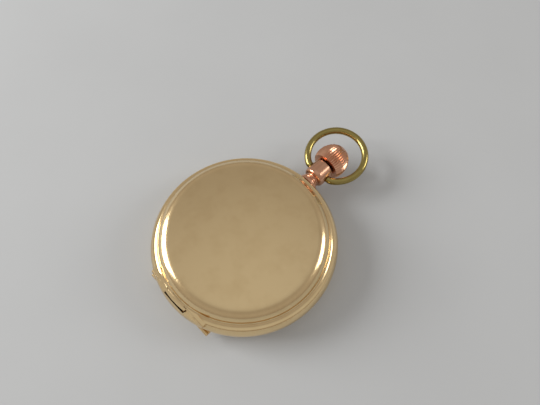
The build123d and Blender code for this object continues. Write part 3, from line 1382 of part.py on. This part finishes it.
REGULATOR_ANGLE = COCK_ANGLE + 130
with BuildPart() as regulator:
    with BuildSketch(Plane.XY.offset(COCK_Z + COCK_T)):
        with Locations(BALANCE):
            Circle(1.25)
        Polygon(*bar(BALANCE, polar(BALANCE, 3.6, REGULATOR_ANGLE), 0.8, 0.2), align=None)
        with Locations(BALANCE):
            Circle(0.5, mode=Mode.SUBTRACT)
    extrude(amount=0.2)
save("regulator", regulator.part)

with BuildPart() as jewels:
    for pivot in (THIRD, FOURTH, ESCAPE, PALLET, BALANCE):
        disc(pivot, PLATE_TOP - JEWEL_T, PLATE_TOP, JEWEL_R)
    for pivot in (THIRD, FOURTH, ESCAPE):
        disc(pivot, BRIDGE_Z, BRIDGE_Z + JEWEL_T, JEWEL_R)
    disc(PALLET, PALLET_COCK_Z, PALLET_COCK_Z + JEWEL_T, JEWEL_R)
    disc(BALANCE, COCK_Z, COCK_Z + JEWEL_T, JEWEL_R)
    for pivot in (THIRD, FOURTH, ESCAPE, PALLET, BALANCE):
        disc(pivot, PLATE_TOP - 1, COCK_Z + 1, PIVOT_R + PIVOT_FIT, mode=Mode.SUBTRACT)
save("jewels", jewels.part)

with BuildPart() as bridge_screws:
    for foot in UPPER_FEET + LOWER_FEET:
        disc(foot, PLATE_TOP - 1.2, BRIDGE_Z + BRIDGE_T, SCREW_R)
        disc(foot, BRIDGE_Z + BRIDGE_T - HEAD_T, BRIDGE_Z + BRIDGE_T, HEAD_R)
    disc(COCK_FOOT, PLATE_TOP - 1.2, COCK_Z + COCK_T, SCREW_R)
    disc(COCK_FOOT, COCK_Z + COCK_T - HEAD_T, COCK_Z + COCK_T, HEAD_R)
    disc(PALLET_FOOT, PLATE_TOP - 1.2, PALLET_COCK_Z + 0.6, SCREW_R)
save("bridge_screws", bridge_screws.part)

with BuildPart() as case_screws:
    for screw in CASE_SCREWS:
        disc(screw, PLATE_Z + 0.4, RIM_Z + LEDGE_T, SCREW_R)
        disc(screw, RIM_Z + LEDGE_T, RIM_Z + LEDGE_T + HEAD_T, HEAD_R)
save("case_screws", case_screws.part)
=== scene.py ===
# %% [markdown]
# An open face pocket watch, lying on its glass with the back cover up.
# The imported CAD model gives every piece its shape, size and place. This lesson gives each piece its
# finish, and puts the watch on a table under two soft lamps.

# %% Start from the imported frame
import json
import math
import bpy
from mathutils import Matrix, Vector

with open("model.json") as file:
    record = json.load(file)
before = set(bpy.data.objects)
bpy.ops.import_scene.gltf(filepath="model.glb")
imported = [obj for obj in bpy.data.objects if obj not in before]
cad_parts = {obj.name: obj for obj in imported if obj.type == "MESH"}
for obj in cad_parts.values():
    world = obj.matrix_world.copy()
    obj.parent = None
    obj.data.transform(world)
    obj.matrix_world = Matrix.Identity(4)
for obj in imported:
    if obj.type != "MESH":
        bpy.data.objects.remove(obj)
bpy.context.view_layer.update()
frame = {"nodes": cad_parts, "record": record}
nodes = frame["nodes"]
MM = 0.001

# %% [markdown]
# Colours are written as the hex values that a paint chart would give, and turned to the linear values
# that a shader works with. One small function adds any node, so that each material reads as a recipe.

# %% Helpers for colours and materials
def linear(code):
    """Linear red, green, blue and alpha of an sRGB hex colour."""
    values = [int(code[i : i + 2], 16) / 255 for i in (1, 3, 5)]
    return [v / 12.92 if v <= 0.04045 else ((v + 0.055) / 1.055) ** 2.4 for v in values] + [1.0]


def add(tree, kind, settings=(), values=(), links=()):
    """Add one node: its settings, its input values, and links from other nodes' outputs."""
    node = tree.nodes.new(kind)
    for name, value in dict(settings).items():
        setattr(node, name, value)
    for name, value in dict(values).items():
        node.inputs[name].default_value = value
    for name, (source, output) in dict(links).items():
        tree.links.new(source.outputs[output], node.inputs[name])
    return node


def start(name, color, metallic, roughness, **more):
    """A new material with its shader; more gives other sockets of the shader."""
    made = bpy.data.materials.new(name)
    made.use_nodes = True
    shader = made.node_tree.nodes["Principled BSDF"]
    shader.inputs["Base Color"].default_value = linear(color)
    shader.inputs["Metallic"].default_value = metallic
    shader.inputs["Roughness"].default_value = roughness
    for socket, value in more.items():
        shader.inputs[socket.replace("_", " ")].default_value = value
    return made, made.node_tree, shader


def two_tones(tree, shader, share, color, other):
    """Colour the shader between two tones, by a share given as (node, output)."""
    tint = add(
        tree,
        "ShaderNodeMix",
        settings={"data_type": "RGBA"},
        values={"A": linear(color), "B": linear(other)},
        links={"Factor": share},
    )
    tree.links.new(tint.outputs["Result"], shader.inputs["Base Color"])


def relief(tree, shader, height, strength, depth):
    """Bend the shader's surface by a height given as (node, output), depth in metres."""
    bump = add(
        tree,
        "ShaderNodeBump",
        values={"Strength": strength, "Distance": depth},
        links={"Height": height},
    )
    tree.links.new(bump.outputs["Normal"], shader.inputs["Normal"])


print("helpers ready")

# %% [markdown]
# Gold-filled case metal is rolled thin over brass and buffed bright. Years in a pocket leave darker
# patches and fine rubs. A noise of 6 mm lays the patches, and a finer one, drawn out along one
# direction, changes the gloss and gives a very slight relief. The colour stays a metal's own tint.

# %% Worn polished metals
PATCH = 6 * MM  # size of a handled patch
RUB_STRETCH = 0.12  # the rubs are about eight times as long as they are wide
RUB_TURN = 0.5  # radians that they are turned by
RUB_DEPTH = 0.01 * MM


def polished(name, color, darker, roughness, rub=0.6 * MM, tarnish=0.35):
    """Buffed metal with fine rubs: color where clean, darker in the handled patches."""
    made, tree, shader = start(name, color, 1.0, roughness)
    place = add(tree, "ShaderNodeTexCoord")
    patches = add(
        tree,
        "ShaderNodeTexNoise",
        values={"Scale": 1 / PATCH, "Detail": 4.0, "Roughness": 0.6},
        links={"Vector": (place, "Object")},
    )
    worn = add(
        tree,
        "ShaderNodeMapRange",
        values={"From Min": 0.45, "From Max": 0.85, "To Min": 0.0, "To Max": tarnish},
        links={"Value": (patches, "Fac")},
    )
    two_tones(tree, shader, (worn, "Result"), color, darker)
    stretch = add(
        tree,
        "ShaderNodeMapping",
        values={"Scale": (1.0, RUB_STRETCH, 1.0), "Rotation": (0, 0, RUB_TURN)},
        links={"Vector": (place, "Object")},
    )
    rubs = add(
        tree,
        "ShaderNodeTexNoise",
        values={"Scale": 1 / rub, "Detail": 6.0, "Roughness": 0.7},
        links={"Vector": (stretch, "Vector")},
    )
    gloss = add(
        tree,
        "ShaderNodeMapRange",
        values={"To Min": roughness * 0.75, "To Max": roughness * 1.5},
        links={"Value": (rubs, "Fac")},
    )
    tree.links.new(gloss.outputs["Result"], shader.inputs["Roughness"])
    relief(tree, shader, (rubs, "Fac"), 0.03, RUB_DEPTH)
    return made


case_gold = polished("gold_filled_case_buffed", "#EBD0A0", "#C9A873", 0.17)
rose_gold = polished("rose_gold_pendant_and_crown", "#DDA98A", "#A8745A", 0.2)
bow_brass = polished("yellow_brass_bow_wire", "#A8975A", "#6A5A30", 0.2)
gilt = polished("gilt_brass_wheels", "#E0BE72", "#C09A50", 0.25, tarnish=0.15)
steel = polished("polished_steel", "#C9C9CB", "#A9A9AC", 0.2, tarnish=0.2)
blued = polished("heat_blued_steel", "#24357F", "#16204F", 0.22, tarnish=0.4)
print("metals", len(bpy.data.materials))

# %% [markdown]
# The plates are nickel-plated brass, decorated with parallel stripes that a turning abrasive leaves,
# 3.36 mm from one to the next. A diagonal wave texture bends the surface and changes its gloss by the
# same stripes.

# %% Striped nickel
STRIPE_PITCH = 3.36 * MM
STRIPE_DEPTH = 0.02 * MM
DIAGONAL_WAVE = 10.0  # radians of the wave for each unit along x, y or z

nickel, tree, shader = start("nickel_plate_with_stripes", "#CFCBC2", 1.0, 0.28)
place = add(tree, "ShaderNodeTexCoord")
stripes = add(
    tree,
    "ShaderNodeTexWave",
    settings={"wave_profile": "SIN", "bands_direction": "DIAGONAL"},
    values={"Scale": math.tau / (DIAGONAL_WAVE * math.sqrt(2) * STRIPE_PITCH), "Distortion": 0.0},
    links={"Vector": (place, "Object")},
)
gloss = add(
    tree,
    "ShaderNodeMapRange",
    values={"To Min": 0.2, "To Max": 0.38},
    links={"Value": (stripes, "Fac")},
)
tree.links.new(gloss.outputs["Result"], shader.inputs["Roughness"])
relief(tree, shader, (stripes, "Fac"), 0.25, STRIPE_DEPTH)
print("stripes every", round(STRIPE_PITCH / MM, 2), "mm")

# %% [markdown]
# Vitreous enamel is glass fused on copper: white, hard and glossy, with the faintest cloudiness.
# The jewels are synthetic ruby, red and very smooth, and the watch glass is clear mineral glass.

# %% Enamel, ruby and glass
def clouded(made, tree, shader, color, other, size):
    """Let a faint noise of a size in metres vary the colour between two near tones."""
    place = add(tree, "ShaderNodeTexCoord")
    cloud = add(
        tree,
        "ShaderNodeTexNoise",
        values={"Scale": 1 / size, "Detail": 3.0},
        links={"Vector": (place, "Object")},
    )
    two_tones(tree, shader, (cloud, "Fac"), color, other)
    return made


enamel = clouded(
    *start("white_vitreous_enamel", "#F1EFE8", 0.0, 0.12, IOR=1.5), "#F4F2EB", "#ECE9E0", 3.0 * MM
)
ruby = clouded(
    *start("synthetic_ruby", "#B0122A", 0.0, 0.06, IOR=1.77), "#B8142E", "#8E0A20", 0.4 * MM
)
glass, tree, shader = start(
    "mineral_watch_glass", "#F7FBFB", 0.0, 0.0, IOR=1.52, Transmission_Weight=1.0
)
print("materials", len(bpy.data.materials))

# %% [markdown]
# Each node of the CAD model gets the finish of its record's slot. Smooth shading keeps the round parts
# round, and an edge where two facets meet at more than 32 degrees stays sharp.

# %% Give the CAD nodes their finishes
SHARP_EDGE = math.radians(32)
finish = {
    "case_gold": case_gold, "cuvette_gold": case_gold, "rose_gold": rose_gold,
    "bow_brass": bow_brass, "steel": steel, "blued_steel": blued, "plate_nickel": nickel,
    "wheel_gilt": gilt, "jewel_red": ruby, "glass": glass, "enamel": enamel,
}
for part in frame["record"]["subparts"]:
    shown = nodes[part["node"]]
    shown.data.materials.clear()
    shown.data.materials.append(finish[part["material_slot"]])
    shown.data.polygons.foreach_set("use_smooth", [True] * len(shown.data.polygons))
    shown.data.set_sharp_from_angle(angle=SHARP_EDGE)
print("finished", len(nodes))

# %% [markdown]
# The watch lies on a plain pale board with a matt surface. One flat face is enough for it, and it is
# so large that from above, where the camera stands, its edge is out of view.

# %% Table
def mesh_piece(name, points, faces, material):
    """A smooth mesh object from points in metres."""
    data = bpy.data.meshes.new(name)
    data.from_pydata(points, [], faces)
    data.materials.append(material)
    data.polygons.foreach_set("use_smooth", [True] * len(data.polygons))
    made = bpy.data.objects.new(name, data)
    bpy.context.scene.collection.objects.link(made)
    return made


BOARD_HALF = 1.6  # metres from the middle to an edge
board = clouded(
    *start("pale_matt_board", "#B9BBBC", 0.0, 0.85), "#BEC0C1", "#B8BABB", 40.0 * MM
)
floor = mesh_piece(
    "floor",
    [(x * BOARD_HALF, y * BOARD_HALF, 0) for x, y in ((-1, -1), (1, -1), (1, 1), (-1, 1))],
    [(0, 1, 2, 3)],
    board,
)

# %% [markdown]
# The camera stands on the 4 o'clock side of the back and looks 65 degrees down, with a moderately
# wide lens close to the watch.

# %% Camera
AWAY = Vector((-0.7096, 0.7046, 0.0))  # along the table, away from the camera
RIGHT = Vector((0.7046, 0.7096, 0.0))  # to the camera's right
LOOK_DOWN = math.radians(64.95)
EYE = (0.0322, -0.0224, 0.1131)
LENS, SENSOR = 28.0, 36.0  # in millimetres, as a camera gives them
camera = bpy.data.objects.new("camera", bpy.data.cameras.new("camera"))
bpy.context.scene.collection.objects.link(camera)
bpy.context.scene.camera = camera
camera.data.lens = LENS
camera.data.sensor_width = SENSOR
camera.data.clip_start = 5 * MM
camera.location = EYE
looking = AWAY * math.cos(LOOK_DOWN) + Vector((0, 0, -math.sin(LOOK_DOWN)))
camera.rotation_euler = looking.to_track_quat("-Z", "Y").to_euler()
print("camera looks", [round(v, 3) for v in looking])

# %% [markdown]
# A polished case shows the room as much as itself. Two large soft lamps stand left and right of the
# watch, the left one stronger, and a grey sky that changes a little with height fills the rest.

# %% Light
def panel(name, right, away, up, size, power):
    """A soft rectangular lamp at distances from the watch in metres, facing it."""
    place = RIGHT * right + AWAY * away + Vector((0, 0, up))
    lamp = bpy.data.objects.new(name, bpy.data.lights.new(name, "AREA"))
    lamp.data.shape = "RECTANGLE"
    lamp.data.size, lamp.data.size_y = size
    lamp.data.energy = power
    lamp.location = place
    lamp.rotation_euler = (-place).to_track_quat("-Z", "Y").to_euler()
    bpy.context.scene.collection.objects.link(lamp)


panel("panel_left", right=-0.75, away=0.15, up=0.42, size=(0.5, 0.45), power=7.0)
panel("panel_right", right=0.8, away=0.1, up=0.45, size=(0.35, 0.35), power=2.0)

SKY = ((0.0, "#8C8783"), (0.45, "#A19C98"), (0.8, "#94908C"), (1.0, "#B4B3B1"))  # horizon to zenith
SKY_STRENGTH = 1.25
world = bpy.data.worlds.new("studio")
bpy.context.scene.world = world
world.use_nodes = True
sky = world.node_tree
place = add(sky, "ShaderNodeTexCoord")
split = add(sky, "ShaderNodeSeparateXYZ", links={"Vector": (place, "Generated")})
height = add(
    sky,
    "ShaderNodeMapRange",
    values={"From Min": 0.0, "From Max": 1.0},
    links={"Value": (split, "Z")},
)
ramp = add(sky, "ShaderNodeValToRGB", links={"Fac": (height, "Result")})
stops = ramp.color_ramp.elements
for share, _ in SKY[1:-1]:
    stops.new(share)
for stop, (share, code) in zip(stops, SKY):
    stop.position = share
    stop.color = linear(code)
background = sky.nodes["Background"]
sky.links.new(ramp.outputs["Color"], background.inputs["Color"])
background.inputs["Strength"].default_value = SKY_STRENGTH
bpy.context.scene.view_settings.view_transform = "Standard"
print("lamps", len(bpy.data.lights), "sky stops", len(stops))
